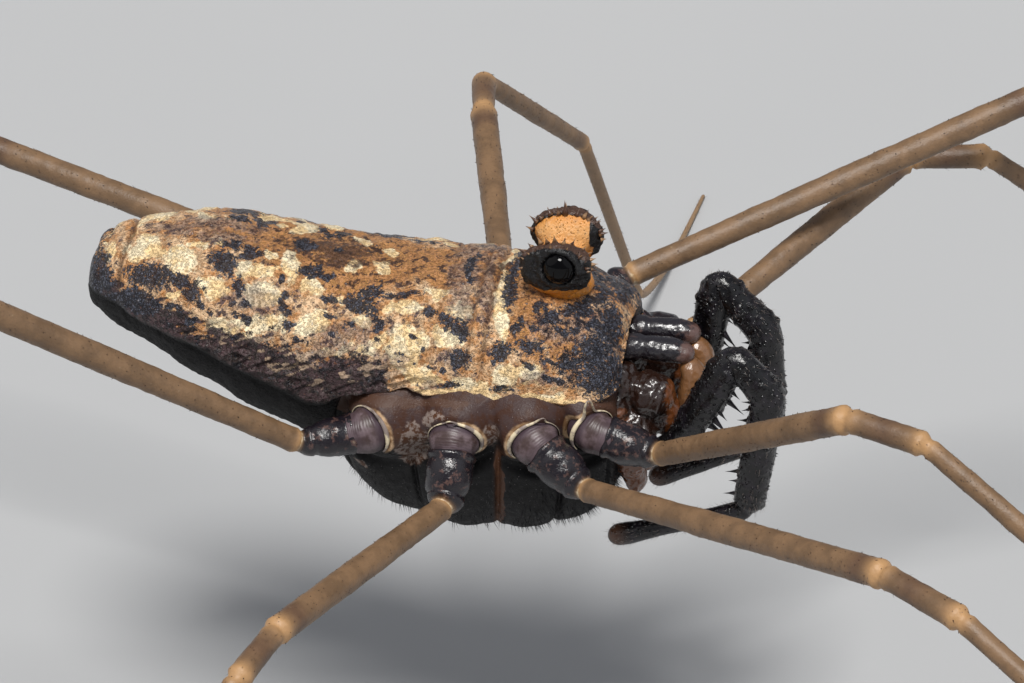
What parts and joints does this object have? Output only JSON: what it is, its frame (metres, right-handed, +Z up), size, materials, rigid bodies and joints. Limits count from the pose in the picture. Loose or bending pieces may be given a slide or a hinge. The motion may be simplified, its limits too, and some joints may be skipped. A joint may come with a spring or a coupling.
{
  "type": "harvestman",
  "caption": "Standing harvestman with a mottled long body, a high spined eye mound, spined black feelers and long thin legs.",
  "frame": {"origin": "centre of the whole animal's bounding box, on the floor under its feet", "axes": "+X is the way the animal faces, +Y its left side, +Z up from the floor"},
  "size_m": [0.0486, 0.041, 0.0123],
  "materials": {
    "hind_body_shell": "mottled cream, brown and blue-black cuticle, finely granular",
    "carapace_shell": "mottled cream, brown and blue-black cuticle, finely granular",
    "belly_shell": "black hairy cuticle",
    "coxa_shell": "black below, pinkish grey membrane and cream rim at the socket",
    "mound_shell": "black granular lobes with brown crests and an orange groove",
    "eye_lens": "glossy black lens",
    "jaw_shell": "glossy dark brown, part translucent",
    "feeler_shell": "glossy black with fine tubercles",
    "femur_shell": "olive brown with golden joints",
    "tibia_shell": "olive brown with golden joints",
    "metatarsus_shell": "golden brown",
    "tarsus_shell": "pale golden brown, finely haired"
  },
  "bodies": {
    "root": {"opisthosoma": "hind_body_shell", "carapace": "carapace_shell", "genital_operculum": "belly_shell", "ocularium": "mound_shell", "eye_left": "eye_lens", "chelicera_left_base": "jaw_shell", "chelicera_left_hand": "jaw_shell", "palp_left_coxa": "jaw_shell", "palp_left_femur": "feeler_shell", "palp_left_tibia": "feeler_shell", "palp_left_tarsus": "feeler_shell", "leg_1_left_coxa": "coxa_shell", "leg_1_left_femur": "femur_shell", "leg_1_left_tibia": "tibia_shell", "leg_1_left_metatarsus": "metatarsus_shell", "leg_1_left_tarsus": "tarsus_shell", "leg_2_left_coxa": "coxa_shell", "leg_2_left_femur": "femur_shell", "leg_2_left_tibia": "tibia_shell", "leg_2_left_metatarsus": "metatarsus_shell", "leg_2_left_tarsus": "tarsus_shell", "leg_3_left_coxa": "coxa_shell", "leg_3_left_femur": "femur_shell", "leg_3_left_tibia": "tibia_shell", "leg_3_left_metatarsus": "metatarsus_shell", "leg_3_left_tarsus": "tarsus_shell", "leg_4_left_coxa": "coxa_shell", "leg_4_left_femur": "femur_shell", "leg_4_left_tibia": "tibia_shell", "leg_4_left_metatarsus": "metatarsus_shell", "leg_4_left_tarsus": "tarsus_shell", "eye_right": "eye_lens", "chelicera_right_base": "jaw_shell", "chelicera_right_hand": "jaw_shell", "palp_right_coxa": "jaw_shell", "palp_right_femur": "feeler_shell", "palp_right_tibia": "feeler_shell", "palp_right_tarsus": "feeler_shell", "leg_1_right_coxa": "coxa_shell", "leg_1_right_femur": "femur_shell", "leg_1_right_tibia": "tibia_shell", "leg_1_right_metatarsus": "metatarsus_shell", "leg_1_right_tarsus": "tarsus_shell", "leg_2_right_coxa": "coxa_shell", "leg_2_right_femur": "femur_shell", "leg_2_right_tibia": "tibia_shell", "leg_2_right_metatarsus": "metatarsus_shell", "leg_2_right_tarsus": "tarsus_shell", "leg_3_right_coxa": "coxa_shell", "leg_3_right_femur": "femur_shell", "leg_3_right_tibia": "tibia_shell", "leg_3_right_metatarsus": "metatarsus_shell", "leg_3_right_tarsus": "tarsus_shell", "leg_4_right_coxa": "coxa_shell", "leg_4_right_femur": "femur_shell", "leg_4_right_tibia": "tibia_shell", "leg_4_right_metatarsus": "metatarsus_shell", "leg_4_right_tarsus": "tarsus_shell"}
  },
  "joints": []
}
